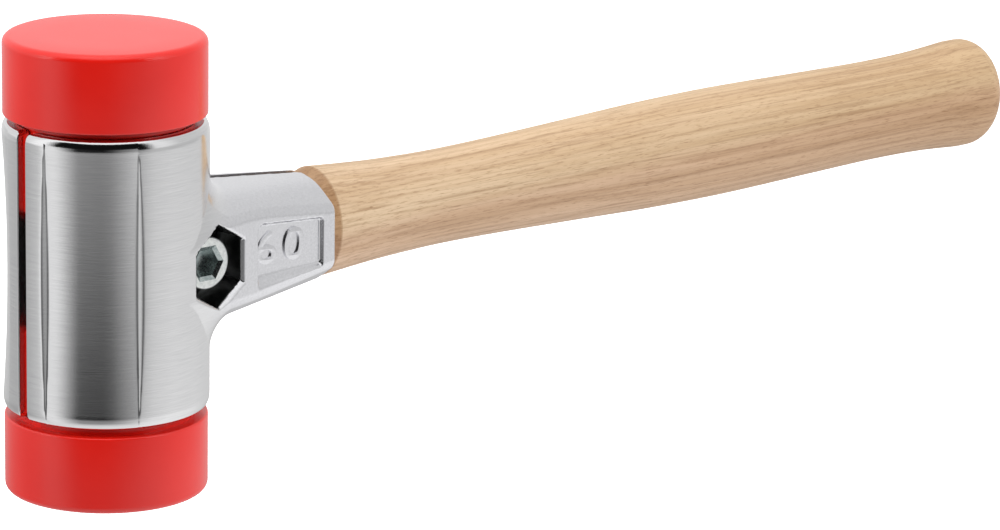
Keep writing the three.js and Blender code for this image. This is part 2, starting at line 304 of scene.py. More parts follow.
def paleWood():
    w = hardwood
    material, nodes, links, shader = newMaterial("paleHardwood")
    place = nodes.new("ShaderNodeSeparateXYZ")
    links.new(stretched(nodes, links), place.inputs["Vector"])
    wander = noiseOn(nodes, links, stretched(nodes, links, w["wanderScale"]), 1.0, 3)
    lean = calculate(nodes, links, "MULTIPLY", place.outputs["X"], w["zoneLean"])
    height = calculate(nodes, links, "ADD", place.outputs["Z"], lean)
    waves = calculate(nodes, links, "MULTIPLY", wander, w["zoneWander"])
    height = calculate(nodes, links, "ADD", height, waves)
    upper = spread(nodes, links, height, 0, 1, w["zoneHeight"], w["zoneHeight"] + 2 * w["zoneSoft"])
    zones = mixColours(nodes, links, upper, w["pink"], w["yellow"])
    bands = noiseOn(nodes, links, stretched(nodes, links, w["bandScale"]), 1.0, 5, 0.6)
    dark = spread(nodes, links, bands, 0.6, 0, 0.28, 0.52)
    banded = mixColours(nodes, links, dark, zones, w["band"])
    lines = noiseOn(nodes, links, stretched(nodes, links, w["lineScale"]), 1.0, 4, 0.65)
    fine = rampOn(nodes, links, lines, [(0.32, w["line"]), (0.52, (1, 1, 1))])
    pores = noiseOn(nodes, links, stretched(nodes, links, w["poreScale"]), 1.0, 2, 0.5)
    specks = rampOn(nodes, links, pores, [(0.31, w["pore"]), (0.42, (1, 1, 1))])
    streaks = noiseOn(nodes, links, stretched(nodes, links, w["streakScale"]), 1.0, 4, 0.6)
    broad = rampOn(nodes, links, streaks, [(0.38, w["streak"]), (0.58, (1, 1, 1))])
    tone = mixColours(nodes, links, 1.0, banded, fine, "MULTIPLY")
    tone = mixColours(nodes, links, 1.0, tone, broad, "MULTIPLY")
    tone = mixColours(nodes, links, 0.7, tone, specks, "MULTIPLY")
    # Painted shade: the wood is darkened towards the butt, as the light falls off away from the head
    along = spread(nodes, links, place.outputs["X"], 0, 1, w["buttFrom"], w["buttTo"])
    buttShadeRamp = rampOn(nodes, links, along, [(0.0, (1, 1, 1)), (1.0, w["butt"])])
    tone = mixColours(nodes, links, 1.0, tone, buttShadeRamp, "MULTIPLY")
    ring = spread(nodes, links, place.outputs["X"], 1, 0, w["shoulderFrom"], w["shoulderTo"])
    ringTone = rampOn(nodes, links, ring, [(0.0, (1, 1, 1)), (1.0, w["ring"])])
    links.new(mixColours(nodes, links, 1.0, tone, ringTone, "MULTIPLY"), shader.inputs["Base Color"])
    links.new(spread(nodes, links, lines, *w["rough"]), shader.inputs["Roughness"])
    bumpOn(nodes, links, shader, pores, w["poreDepth"], 0.5)
    return material


metalFinish = castAndBrushed()
zincFinish = zincPlate("zincPlate", zinc)
socketShadeFinish = zincPlate("socketShadeZinc", socketShadeZinc)
redFinish = redMoulding()
woodFinish = paleWood()
print("materials made")


# Distances from the cast surface are blended the way a pattern maker rounds edges and fills corners
def roundEdge(a, b, bend):
    over = np.hypot(np.maximum(bend + a, 0), np.maximum(bend + b, 0))
    return np.minimum(-bend, np.maximum(a, b)) + over


def fillCorner(a, b, bend):
    return -roundEdge(-a, -b, bend)


def cutAway(a, b, bend):
    return roundEdge(a, -b, bend)


def softMax(a, b, width):
    return (a + b + np.sqrt((a - b) ** 2 + width ** 2)) / 2


# An edge rounded further along one face than along the other
def roundRim(side, end, across, tall):
    u = np.maximum(side / across + 1, 0)
    v = np.maximum(end / tall + 1, 0)
    size = np.maximum(np.hypot(u, v), tiny)
    steep = np.maximum(np.hypot(u / across, v / tall) / size, tiny)
    return np.where((u > 0) | (v > 0), (size - 1) / steep, np.maximum(side, end))


# Casting of one housing half. Angles go round from the slit, heights are from the middle of the head
casting = {
    "firstVoxel": 1.0 * mm, "voxel": 0.5 * mm, "triangles": 170000, "rounds": 7, "lastRounds": 3,
    "rimAcross": 1.8 * mm, "rimTall": 3.6 * mm, "topRise": 0.45 * mm,
    "slitBend": 0.35 * mm, "slitCorner": 1.6 * mm, "slitShift": 0.5 * mm,
    "seamSpare": 1.0 * mm, "seamFrom": 0 * mm, "seamTo": 10 * mm, "seamCut": 0.03 * mm,
    "seamWeld": 0.01 * mm, "seamNear": 0.001 * mm, "seamFlat": 0.999,
    "reliefDepth": 1.6 * mm, "reliefFrom": 17.2, "reliefTo": 70.6, "reliefEnd": 43.0 * mm,
    "reliefWallFrom": 51.0, "reliefWallTo": 47.0, "reliefSoft": 0.35 * mm,
    "flankStart": 8 * mm, "bendReach": 41 * mm, "bendHalf": 20.3 * mm,
    "endHalf": 17.4 * mm, "bendSoft": 1.2 * mm,
    "ridgeEnd": 17.2 * mm, "ridgeSlope": 0.0975, "ridgeFall": 0.12,
    "cheekEnd": 22.5 * mm, "cheekSlope": 0.2, "cheekFall": 0.76,
    "roofSoft": 2.0 * mm, "neckDrop": 0.4 * mm,
    "rootFillet": 7 * mm, "flankBend": 1.6 * mm, "rootBend": 5 * mm, "rootFrom": 28 * mm,
    "rootTo": 10 * mm, "neckEndBend": 0.9 * mm,
    "panelFrom": 40.5 * mm, "panelTo": 68.1 * mm, "panelTopFrom": 9.0 * mm, "panelTopTo": 6.5 * mm,
    "panelFloorLow": 7.7 * mm, "panelLowFrom": 10.4 * mm, "panelLowTo": 8.7 * mm, "panelDepth": 1.25 * mm,
    "panelWall": 0.35, "panelCornerFrom": 3.0 * mm, "panelCornerTo": 1.0 * mm, "panelLowCorner": 0.8 * mm,
    "panelFillet": 0.35 * mm, "panelEdge": 0.3 * mm,
    "pocketFlats": 22.2 * mm, "pocketFloor": 7.25 * mm, "nutFlats": 17.6 * mm, "nutFloor": 9.75 * mm,
    "pocketBend": 0.3 * mm, "pocketChamfer": 0.55 * mm, "mouthReach": 0.55 * mm, "mouthDrop": 0.45 * mm,
    # Where the painted shade in the pocket starts, how fast it fades in, and how far it reaches past the
    # hexagon
    "pocketShadeFrom": 1.15 * mm, "pocketShadeFade": 0.4 * mm, "pocketShadeSpare": 0.1 * mm,
    "screwHole": 5.5 * mm, "webHole": 8 * mm,
    "boreRadius": 25.8 * mm, "webHalf": 16.85 * mm, "boreBend": 0.5 * mm,
    "socketEnd": 37.4 * mm, "socketEndRadius": 11.54 * mm, "socketMouthRadius": 12.55 * mm,
    "socketRatio": 0.86, "socketSpare": 0.2,
}


def barrelSide(x, across, up):
    c = casting
    angle = np.degrees(np.arctan2(across, -x))
    fade = np.clip(1 - (up / c["reliefEnd"]) ** 2, 0, 1)
    perDegree = math.radians(1) * barrelRadius
    before = (c["reliefFrom"] - angle) * perDegree * math.tan(math.radians(c["reliefWallFrom"]))
    after = (angle - c["reliefTo"]) * perDegree * math.tan(math.radians(c["reliefWallTo"]))
    soft = c["reliefSoft"] * fade + weld
    floor = softMax(np.maximum(before, after), 0, soft) - c["reliefDepth"] * fade
    surface = -softMax(-floor, 0, soft)
    return np.hypot(x, across) - barrelRadius - surface


def flankHalf(x):
    c = casting
    startHalf = math.sqrt(barrelRadius ** 2 - c["flankStart"] ** 2)
    firstRun = c["bendReach"] - c["flankStart"]
    secondRun = neckReach - c["bendReach"]
    first = startHalf + (x - c["flankStart"]) * (c["bendHalf"] - startHalf) / firstRun
    second = c["bendHalf"] + (x - c["bendReach"]) * (c["endHalf"] - c["bendHalf"]) / secondRun
    return softMax(first, second, c["bendSoft"])


# Neck: a flat ridge, a sloping cheek and an upright flank, filled out where it meets the barrel
def neckBody(x, across, up, side):
    c = casting
    height = np.abs(up + c["neckDrop"])
    back = neckReach - x

    def slope(end, rise, fall):
        return (height - end - rise * back + fall * across) / math.hypot(1, fall)

    ridge = slope(c["ridgeEnd"], c["ridgeSlope"], c["ridgeFall"])
    cheek = slope(c["cheekEnd"], c["cheekSlope"], c["cheekFall"])
    roof = softMax(ridge, cheek, c["roofSoft"])
    filled = fillCorner(side, roof, c["rootFillet"])
    nearRoot = np.clip((c["rootFrom"] - x) / (c["rootFrom"] - c["rootTo"]), 0, 1)
    neck = roundEdge(filled, across - flankHalf(x), c["flankBend"] + c["rootBend"] * nearRoot)
    neck = np.maximum(neck, np.maximum(c["flankStart"] - x, roof - c["rootFillet"]))
    return roundEdge(neck, x - neckReach, c["neckEndBend"])


# Sunk panel for the size mark: steep walls above and at the ends, a long slope below
def panelSpace(x, across, up):
    c = casting
    along = (x - c["panelFrom"]) / (c["panelTo"] - c["panelFrom"])
    below = flankHalf(x) - across
    ends = np.maximum(c["panelFrom"] - x, x - c["panelTo"])
    top = up - c["panelTopFrom"] - (c["panelTopTo"] - c["panelTopFrom"]) * along
    corner = c["panelCornerFrom"] + (c["panelCornerTo"] - c["panelCornerFrom"]) * np.clip(along, 0, 1)
    walls = (roundEdge(ends, top, corner) + c["panelWall"] * below) / math.hypot(1, c["panelWall"])
    lowEdge = c["panelLowFrom"] + (c["panelLowTo"] - c["panelLowFrom"]) * along
    lean = (lowEdge - c["panelFloorLow"]) / c["panelDepth"]
    slope = (lean * below - lowEdge - up) / np.hypot(1, lean)
    space = roundEdge(walls, slope, c["panelLowCorner"])
    return roundEdge(space, below - c["panelDepth"], c["panelFillet"])


def hexSpace(x, up, flats):
    dx = np.abs(x - screwReach)
    return np.maximum(dx, dx / 2 + np.abs(up) * math.sqrt(0.75)) - flats / 2


# Pocket for a hexagon, with a chamfer that is broader below and towards the handle
def pocketSpace(x, across, up, flats, floor):
    hexagon = hexSpace(x, up, flats)
    below = flankHalf(x) - across
    mouth = hexSpace(x - casting["mouthReach"], up + casting["mouthDrop"], flats)
    mouth = (mouth + below - casting["pocketChamfer"]) / math.sqrt(2)
    return np.minimum(np.maximum(hexagon, floor - across), mouth)


# Below zero inside the metal. The half lies on the +across side of its parting face,
# and has some metal to spare there along the neck, which is cut off flat later
def castingField(x, across, up, flats, floor, parting):
    c = casting
    side = barrelSide(x, across, up)
    end = np.maximum(up - c["topRise"], -up) - barrelHalf
    body = roundRim(side, end, c["rimAcross"], c["rimTall"])
    body = np.minimum(body, neckBody(x, across, up, side))
    spare = c["seamSpare"] * np.clip((x - c["seamFrom"]) / (c["seamTo"] - c["seamFrom"]), 0, 1)
    seam = parting - spare - across
    body = roundEdge(body, seam, c["slitBend"])
    body = np.maximum(body, roundEdge(end, seam, c["slitCorner"]))
    body = cutAway(body, panelSpace(x, across, up), c["panelEdge"])
    body = cutAway(body, pocketSpace(x, across, up, flats, floor), c["pocketBend"])
    body = np.maximum(body, c["screwHole"] - np.hypot(x - screwReach, up))
    bore = np.maximum(np.hypot(x, across) - c["boreRadius"], c["webHalf"] - np.abs(up))
    body = cutAway(body, bore, c["boreBend"])
    body = np.maximum(body, c["webHole"] - np.hypot(x, across))
    along = (x - c["socketEnd"]) / (neckReach - c["socketEnd"])
    along = np.clip(along, -c["socketSpare"], 1 + c["socketSpare"])
    tenon = c["socketEndRadius"] + (c["socketMouthRadius"] - c["socketEndRadius"]) * along
    socket = np.maximum(np.hypot(across / c["socketRatio"], up) - tenon, c["socketEnd"] - x)
    return cutAway(body, socket, c["boreBend"])


# Points of a half as (x, across, up)
def pointsOf(mesh, mirror):
    flat = np.empty(len(mesh.vertices) * 3, np.float32)
    mesh.vertices.foreach_get("co", flat)
    points = flat.reshape(-1, 3).astype(np.float64)
    points[:, 1] *= mirror
    points[:, 2] -= headMiddle
    return points


# Moves every point of a mesh onto the cast surface and gives back the surface's own normals
def settle(mesh, mirror, shape, rounds):
    points = pointsOf(mesh, mirror)
    step = 0.01 * mm
    reach = 0.6 * mm
    leastSlope = 0.05

    def field(p):
        return castingField(p[:, 0], p[:, 1], p[:, 2], *shape)

    def slopeAt(p):
        slope = np.empty_like(p)
        for axis in range(3):
            shift = np.zeros(3)
            shift[axis] = step
            slope[:, axis] = (field(p + shift) - field(p - shift)) / (2 * step)
        return slope

    for _ in range(rounds):
        slope = slopeAt(points)
        size = np.maximum((slope ** 2).sum(axis=1), leastSlope)
        move = -slope * (field(points) / size)[:, None]
        length = np.linalg.norm(move, axis=1)
        points += move * np.minimum(1, reach / np.maximum(length, tiny))[:, None]
    normals = slopeAt(points)
    normals /= np.maximum(np.linalg.norm(normals, axis=1), tiny)[:, None]
    points[:, 2] += headMiddle
    points[:, 1] *= mirror
    normals[:, 1] *= mirror
    mesh.vertices.foreach_set("co", points.astype(np.float32).ravel())
    mesh.update()
    return normals


# The mesh that one modifier makes of another mesh
def modified(mesh, kind, **settings):
    block = bpy.data.objects.new("block", mesh)
    bpy.context.scene.collection.objects.link(block)
    modifier = block.modifiers.new(kind, kind)
    for name, value in settings.items():
        setattr(modifier, name, value)
    bpy.context.view_layer.update()
    shape = block.evaluated_get(bpy.context.evaluated_depsgraph_get())
    made = bpy.data.meshes.new_from_object(shape)
    bpy.data.objects.remove(block)
    return made


# The parting face is cut flat along the neck
def cutSeam(mesh, mirror, place):
    bm = bmesh.new()
    bm.from_mesh(mesh)
    away = Vector((0, -mirror, 0))
    geom = list(bm.verts) + list(bm.edges) + list(bm.faces)
    middle = (0, mirror * place, 0)
    bmesh.ops.bisect_plane(bm, geom=geom, plane_co=middle, plane_no=away, clear_outer=True)
    rim = [vert for vert in bm.verts if vert.is_boundary]
    bmesh.ops.remove_doubles(bm, verts=rim, dist=casting["seamWeld"])
    edges = [edge for edge in bm.edges if edge.is_boundary]
    bmesh.ops.triangle_fill(bm, edges=edges, use_beauty=True, normal=away)
    bm.to_mesh(mesh)
    bm.free()


# Smooth cast surfaces get the field's normals, the cut parting face stays flat
def setNormals(mesh, normals, mirror, place):
    corners = np.empty(len(mesh.loops), np.int32)
    mesh.loops.foreach_get("vertex_index", corners)
    across = pointsOf(mesh, mirror)[:, 1]
    onSeam = np.abs(across - place) < casting["seamNear"]
    directions = normals[corners]
    for face in mesh.polygons:
        if abs(face.normal.y) > casting["seamFlat"] and all(onSeam[vert] for vert in face.vertices):
            directions[face.loop_start:face.loop_start + face.loop_total] = (0, -mirror, 0)
    mesh.shade_smooth()
    mesh.normals_split_custom_set([tuple(direction) for direction in directions])


# How deep each point lies in the pocket, where the metal's colour is darkened as painted shade
def markPocketShade(mesh, mirror, flats):
    x, across, up = pointsOf(mesh, mirror).T
    below = flankHalf(x) - across - casting["pocketShadeFrom"]
    inside = hexSpace(x, up, flats) < casting["pocketShadeSpare"]
    pocketShade = mesh.attributes.new("pocketShade", "FLOAT", "POINT")
    depth = np.clip(below / casting["pocketShadeFade"], 0, 1) * inside
    pocketShade.data.foreach_set("value", depth.astype(np.float32))


# A half starts from a copy of its CAD solid and is worked to the cast surface, then thinned where it is plain
def makeHousing(name, node, body, mirror, flats, floor, parting):
    shape = (flats, floor, parting)
    mesh = frame["nodes"][node].data.copy()
    bm = bmesh.new()
    bm.from_mesh(mesh)
    bmesh.ops.remove_doubles(bm, verts=bm.verts, dist=cadWeld)
    bm.to_mesh(mesh)
    bm.free()
    for voxel in (casting["firstVoxel"], casting["voxel"]):
        mesh = modified(mesh, "REMESH", mode="VOXEL", voxel_size=voxel)
        settle(mesh, mirror, shape, casting["rounds"])
    share = casting["triangles"] / sum(len(face.vertices) - 2 for face in mesh.polygons)
    if share < 1:
        mesh = modified(mesh, "DECIMATE", ratio=share)
        settle(mesh, mirror, shape, casting["lastRounds"])
    seam = parting - casting["seamCut"]
    cutSeam(mesh, mirror, seam)
    mesh.name = name
    addPiece(name, mesh, body, node, metalFinish)
    markPocketShade(mesh, mirror, flats)
    setNormals(mesh, settle(mesh, mirror, shape, 0), mirror, seam)
    print(name, "faces", len(mesh.polygons), "share kept", round(share, 3))


makeHousing("housingScrewSide", "housing_screw_side", "housing", -1,
            casting["pocketFlats"], casting["pocketFloor"], halfInset - casting["slitShift"])
makeHousing("housingNutSide", "housing_nut_side", "clamp_half", 1,
            casting["nutFlats"], casting["nutFloor"], halfInset + casting["slitShift"])


# Striking faces: cap, collar and spigot turned in one piece
faceTurning = {"edge": 2.2 * mm, "collarRadius": 26.4 * mm, "spigotRadius": 25.5 * mm, "collar": 1.6 * mm,
               "spigotChamfer": 1.0 * mm, "lipBend": 0.6 * mm, "seatGap": 0.75 * mm,
               "topRing": 0.6, "segments": 160, "smooth": 35}


def makeFace(name, node, body, pointsUp):
    f = faceTurning
    low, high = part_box(node)
    radius = (high.x - low.x) / 2
    seat = barrelHalf + f["seatGap"]
    top = high.z - headMiddle if pointsUp else headMiddle - low.z
    spigotEnd = low.z - headMiddle if pointsUp else headMiddle - high.z
    outline = [(0, spigotEnd), (f["spigotRadius"] - f["spigotChamfer"], spigotEnd),
               (f["spigotRadius"], spigotEnd + f["spigotChamfer"]), (f["spigotRadius"], seat),
               (f["collarRadius"], seat), (f["collarRadius"], seat + f["collar"])]
    outline += arc(radius - f["lipBend"], seat + f["collar"] + f["lipBend"], f["lipBend"], -90, 0)
    outline += arc(radius - f["edge"], top - f["edge"], f["edge"], 0, 90)
    outline += [(radius * f["topRing"], top), (0, top)]
    bm = turnOutline(outline, f["segments"])
    if not pointsUp:
        bmesh.ops.scale(bm, verts=bm.verts, vec=(1, 1, -1))
    bmesh.ops.translate(bm, verts=bm.verts, vec=(0, 0, headMiddle))
    addPiece(name, meshFrom(bm, name), body, node, redFinish, f["smooth"])


makeFace("upperFace", "upper_face", "upper_face", True)
makeFace("lowerFace", "lower_face", "lower_face", False)
print("striking faces made")


# Socket-head screw along +Y, with ring grooves for its thread near the tip
screwTurning = {"headRadius": 8 * mm, "headHeight": 10 * mm, "shank": 5 * mm, "edge": 0.7 * mm,
                "faceInner": 6.6 * mm, "mouthFlats": 10.3 * mm, "socketFlats": 8 * mm, "mouthDepth": 0.9 * mm,
                "socketDepth": 5 * mm, "socketNear": 0.01 * mm, "socketSpare": 0.1 * mm, "tip": 0.8 * mm,
                "threadFrom": 14 * mm, "pitch": 1.5 * mm, "threadDepth": 0.75 * mm,
                "rootFrom": 0.45, "rootTo": 0.55, "crestFrom": 0.94, "segments": 72, "smooth": 25}


def makeScrew():
    s = screwTurning
    length = screwHigh.y - screwLow.y
    head = s["headHeight"]
    outline = [(s["faceInner"], 0)]
    outline += arc(s["headRadius"] - s["edge"], s["edge"], s["edge"], -90, 0, 5)
    outline += [(s["headRadius"], head), (s["shank"], head), (s["shank"], s["threadFrom"])]
    reach = s["threadFrom"]
    root = s["shank"] - s["threadDepth"]
    while reach + s["pitch"] < length - s["tip"]:
        outline += [(root, reach + s["pitch"] * s["rootFrom"]), (root, reach + s["pitch"] * s["rootTo"]),
                    (s["shank"], reach + s["pitch"] * s["crestFrom"]), (s["shank"], reach + s["pitch"])]
        reach += s["pitch"]
    outline += [(s["shank"], length - s["tip"]), (s["shank"] - s["tip"], length), (0, length)]
    bm = turnOutline(outline, s["segments"])
    rim = [edge for edge in bm.edges if edge.is_boundary]
    for depth, flats in ((0, s["mouthFlats"]), (s["mouthDepth"], s["socketFlats"]),
                         (s["socketDepth"], s["socketFlats"])):
        grown = bmesh.ops.extrude_edge_only(bm, edges=rim)["geom"]
        for vert in [item for item in grown if isinstance(item, bmesh.types.BMVert)]:
            turn = math.atan2(vert.co.y, vert.co.x)
            corner = flats / 2 / math.cos(turn % math.radians(60) - math.radians(30))
            vert.co = (corner * math.cos(turn), corner * math.sin(turn), depth)
        rim = [item for item in grown if isinstance(item, bmesh.types.BMEdge) and item.is_boundary]
    bmesh.ops.contextual_create(bm, geom=rim)
    layAlongY(bm, screwLow.y)
    mesh = meshFrom(bm, "clampScrew")
    addPiece("clampScrew", mesh, "screw", "clamp_screw", zincFinish, s["smooth"])
    # The faces down in the socket take the darker zinc, which is painted shade
    mesh.materials.append(socketShadeFinish)
    for face in mesh.polygons:
        middle = face.center - Vector((screwReach, screwLow.y, headMiddle))
        sunk = s["socketNear"] < middle.y < s["socketDepth"] + s["socketSpare"]
        if sunk and math.hypot(middle.x, middle.z) < s["faceInner"]:
            face.material_index = 1


makeScrew()


# Plain washer under the screw's head
washerTurning = {"hole": 5.3 * mm, "edge": 0.25 * mm, "segments": 72, "smooth": 30}


def makeWasher():
    w = washerTurning
    low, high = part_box("screw_washer")
    radius = (high.x - low.x) / 2
    thick = high.y - low.y
    outline = [(w["hole"], 0), (radius - w["edge"], 0), (radius, w["edge"]), (radius, thick - w["edge"]),
               (radius - w["edge"], thick), (w["hole"], thick), (w["hole"], 0)]
    bm = turnOutline(outline, w["segments"])
    layAlongY(bm, low.y)
    mesh = meshFrom(bm, "screwWasher")
    addPiece("screwWasher", mesh, "housing", "screw_washer", zincFinish, w["smooth"])


makeWasher()


# Hexagon nut with chamfered corners
nutTurning = {"flats": 17 * mm, "hole": 5.3 * mm, "holeChamfer": 0.6 * mm, "lean": 30, "segments": 72,
              "smooth": 25}


def makeNut():
    n = nutTurning
    low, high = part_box("clamp_nut")
    thick = high.y - low.y
    corner = n["flats"] / math.sqrt(3)
    top = n["flats"] / 2
    drop = (corner - top) * math.tan(math.radians(n["lean"]))
    outline = [(n["hole"], n["holeChamfer"]), (n["hole"] + n["holeChamfer"], 0), (top, 0), (corner, drop),
               (corner, thick - drop), (top, thick), (n["hole"] + n["holeChamfer"], thick),
               (n["hole"], thick - n["holeChamfer"]), (n["hole"], n["holeChamfer"])]
    bm = turnOutline(outline, n["segments"])
    for turn in range(6):
        away = Vector((math.cos(math.radians(60 * turn)), math.sin(math.radians(60 * turn)), 0))
        geom = list(bm.verts) + list(bm.edges) + list(bm.faces)
        middle = away * n["flats"] / 2
        cut = bmesh.ops.bisect_plane(bm, geom=geom, plane_co=middle, plane_no=away, clear_outer=True)
        edges = [item for item in cut["geom_cut"] if isinstance(item, bmesh.types.BMEdge)]
        bmesh.ops.contextual_create(bm, geom=edges)
    layAlongY(bm, low.y)
    mesh = meshFrom(bm, "clampNut")
    addPiece("clampNut", mesh, "clamp_half", "clamp_nut", zincFinish, n["smooth"])


makeNut()
print("screw, washer and nut made")


# Oval turned handle along +X. Stations are (distance from the head axis, half-height)
handleTurning = {
    "widthRatio": 0.86, "tenonEnd": 37.7 * mm, "tenonEndRadius": 11.2 * mm, "tenonMouthRadius": 12.2 * mm,
    "shoulder": 73.7 * mm, "shoulderRadius": 15.4 * mm, "buttBend": 9 * mm,
    "stations": [(78.5, 17.0), (92, 16.0), (104, 15.3), (126, 14.75), (150, 15.1), (190, 16.4), (215, 17.25),
                 (248, 17.6), (290, 16.9), (318, 16.5), (340, 16.9), (358, 18.1)],
    "buttRing": 0.3, "segments": 120, "stepsBetween": 8, "smooth": 14,
}


def smoothStations(stations, steps):
    points = [stations[0]] + stations + [stations[-1]]
    line = []
    for a, b, c, d in zip(points, points[1:], points[2:], points[3:]):
        span = c[0] - b[0]
        slopeIn = (c[1] - a[1]) / (c[0] - a[0])
        slopeOut = (d[1] - b[1]) / (d[0] - b[0])
        for i in range(steps):
            t = i / steps
            h = b[1] * (1 + 2 * t) * (1 - t) ** 2 + c[1] * t * t * (3 - 2 * t)
            h += span * (slopeIn * t * (1 - t) ** 2 + slopeOut * t * t * (t - 1))
            line.append((b[0] + span * t, h))
    return line + [stations[-1]]


def makeHandle():
    h = handleTurning
    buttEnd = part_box("handle")[1].x
    stations = [(reach * mm, half * mm) for reach, half in h["stations"]]
    outline = [(0, h["tenonEnd"]), (h["tenonEndRadius"], h["tenonEnd"]),
               (h["tenonMouthRadius"], h["shoulder"]), (h["shoulderRadius"], h["shoulder"])]
    outline += [(half, reach) for reach, half in smoothStations(stations, h["stepsBetween"])]
    bend = h["buttBend"]
    buttHalf = stations[-1][1]
    outline += arc(buttHalf - bend, buttEnd - bend, bend, 0, 90, 10)
    outline += [(buttHalf * h["buttRing"], buttEnd), (0, buttEnd)]
    bm = turnOutline(outline, h["segments"])
    turn = Matrix.Rotation(math.radians(90), 3, "Y")
    bmesh.ops.rotate(bm, verts=bm.verts, cent=(0, 0, 0), matrix=turn)
    bmesh.ops.scale(bm, verts=bm.verts, vec=(1, h["widthRatio"], 1))
    bmesh.ops.translate(bm, verts=bm.verts, vec=(0, 0, headMiddle))
    mesh = meshFrom(bm, "handle.wood")
    addPiece("handle.wood", mesh, "handle", "handle", woodFinish, h["smooth"])


makeHandle()
print("handle made")


# Raised size mark: the face diameter in plain numbers, laid on the panel's floor
sizeMark = {"digits": (("6", 44.9 * mm, 1.1 * mm, 1.36), ("0", 56.4 * mm, 0.36 * mm, 1.26)),
            "height": 10.3 * mm, "fontHeight": 0.73, "lean": -4.6, "rise": 0.5 * mm, "edge": 0.07 * mm,
            "sink": 0.5 * mm, "swell": 0.03 * mm, "planeFrom": 45 * mm, "planeTo": 66 * mm, "smooth": 40}


def makeSizeMark():
    m = sizeMark
    bm = bmesh.new()
    start, end = flankHalf(np.array([m["planeFrom"], m["planeTo"]]))
    taper = (start - end) / (m["planeTo"] - m["planeFrom"])
    for digit, reach, height, width in m["digits"]:
        curve = bpy.data.curves.new("numeral", "FONT")
        curve.body = digit
        curve.align_x = "CENTER"
        curve.align_y = "CENTER"
        curve.size = m["height"] / m["fontHeight"]
        curve.offset = m["swell"]
        curve.extrude = (m["rise"] + m["sink"]) / 2 - m["edge"]
        curve.bevel_depth = m["edge"]
        curve.bevel_resolution = 2
        text = bpy.data.objects.new("numeral", curve)
        bpy.context.scene.collection.objects.link(text)
        bpy.context.view_layer.update()
        shape = text.evaluated_get(bpy.context.evaluated_depsgraph_get())
        mesh = bpy.data.meshes.new_from_object(shape)
        bpy.data.objects.remove(text)
        middle = (Vector(map(min, zip(*[v.co for v in mesh.vertices])))
                  + Vector(map(max, zip(*[v.co for v in mesh.vertices])))) / 2
        mesh.transform(Matrix.Translation(-middle))
        panelFloor = start - taper * (reach - m["planeFrom"]) - casting["panelDepth"]
        lift = panelFloor + (m["rise"] - m["sink"]) / 2
        turn = Matrix.Rotation(math.atan(taper), 4, "Z") @ Matrix.Rotation(math.radians(90), 4, "X")
        turn = turn @ Matrix.Rotation(math.radians(m["lean"]), 4, "Z") @ Matrix.Diagonal((width, 1, 1, 1))
        mesh.transform(Matrix.Translation((reach, -lift, headMiddle + height)) @ turn)
        bm.from_mesh(mesh)
    mesh = meshFrom(bm, "sizeMark")
    addPiece("sizeMark", mesh, "housing", None, metalFinish, m["smooth"])


makeSizeMark()
print("size mark made")

# Camera, set out from the middle of the head
view = {"azimuth": -41.94, "elevation": 14.87, "roll": 0.96, "place": (-0.9050, -1.1802, 0.3948),
        "focal": 5230, "imageWidth": 1000, "sensor": 36, "clipEnd": 20}


def makeCamera():
    v = view
    data = bpy.data.cameras.new("camera")
    data.sensor_width = v["sensor"]
    data.lens = v["focal"] * v["sensor"] / v["imageWidth"]
    data.clip_end = v["clipEnd"]
    camera = bpy.data.objects.new("camera", data)
    bpy.context.scene.collection.objects.link(camera)
    a = math.radians(v["azimuth"])
    e = math.radians(v["elevation"])
    back = Vector((math.sin(a) * math.cos(e), -math.cos(a) * math.cos(e), math.sin(e)))
    right = Vector((math.cos(a), math.sin(a), 0))
    up = back.cross(right)
    r = math.radians(v["roll"])
    tiltedRight = right * math.cos(r) + up * math.sin(r)
    tiltedUp = up * math.cos(r) - right * math.sin(r)
    turn = Matrix((tiltedRight, tiltedUp, back)).transposed().to_4x4()
    place = Vector(v["place"]) + Vector((0, 0, headMiddle))
    camera.matrix_world = Matrix.Translation(place) @ turn
    bpy.context.scene.camera = camera


makeCamera()

# Studio: a pale floor, and a surround with soft boxes and one dark side.
# Rings give the surround's level by the angle in degrees from the dark side, seen from above
studio = {
    "floorSize": 6.0, "floorDrop": 32 * mm, "floorTone": (0.9, 0.9, 0.9), "floorRough": 0.9,
    "floorGlow": 0.45, "darkSide": -131.94,
    "under": [(-180, 0.84), (40, 0.84), (70, 0.95), (130, 0.95), (180, 0.84)],
    "below": [(-180, 0.45), (-150, 0.49), (-128, 0.43), (-95, 0.44), (-76, 0.61), (-67, 0.88), (-55, 0.88),
              (-47, 0.74), (-42, 0.63), (-34, 0.46), (-26, 0.32), (-2, 0.28), (10, 0.31), (18, 0.39),
              (26, 0.48), (38, 0.64), (56, 0.84), (85, 0.96), (120, 0.90), (155, 0.7), (180, 0.45)],
    "horizon": [(-180, 0.9), (-95, 0.5), (-76, 0.62), (-67, 0.88), (-55, 0.88), (-47, 0.66), (-38, 0.3),
                (-28, 0.02), (2, 0.01), (12, 0.06), (22, 0.18), (46, 0.42), (60, 0.56), (120, 0.6),
                (150, 0.7), (180, 0.85)],
    "front": [(-180, 0.85), (-90, 0.85), (-78, 1.1), (-66, 1.1), (-52, 0.006), (50, 0.006), (62, 0.9),
              (74, 0.9), (95, 0.66), (130, 0.67), (180, 0.85)],
    "above": [(-180, 0.85), (-90, 0.95), (-60, 1.2), (60, 1.2), (90, 0.9), (125, 0.74), (180, 0.85)],
    "underToBelow": (-0.75, -0.5), "belowToHorizon": (-0.325, -0.18), "horizonToFront": (0.0, 0.06),
    "frontToAbove": (0.70, 0.82),
}


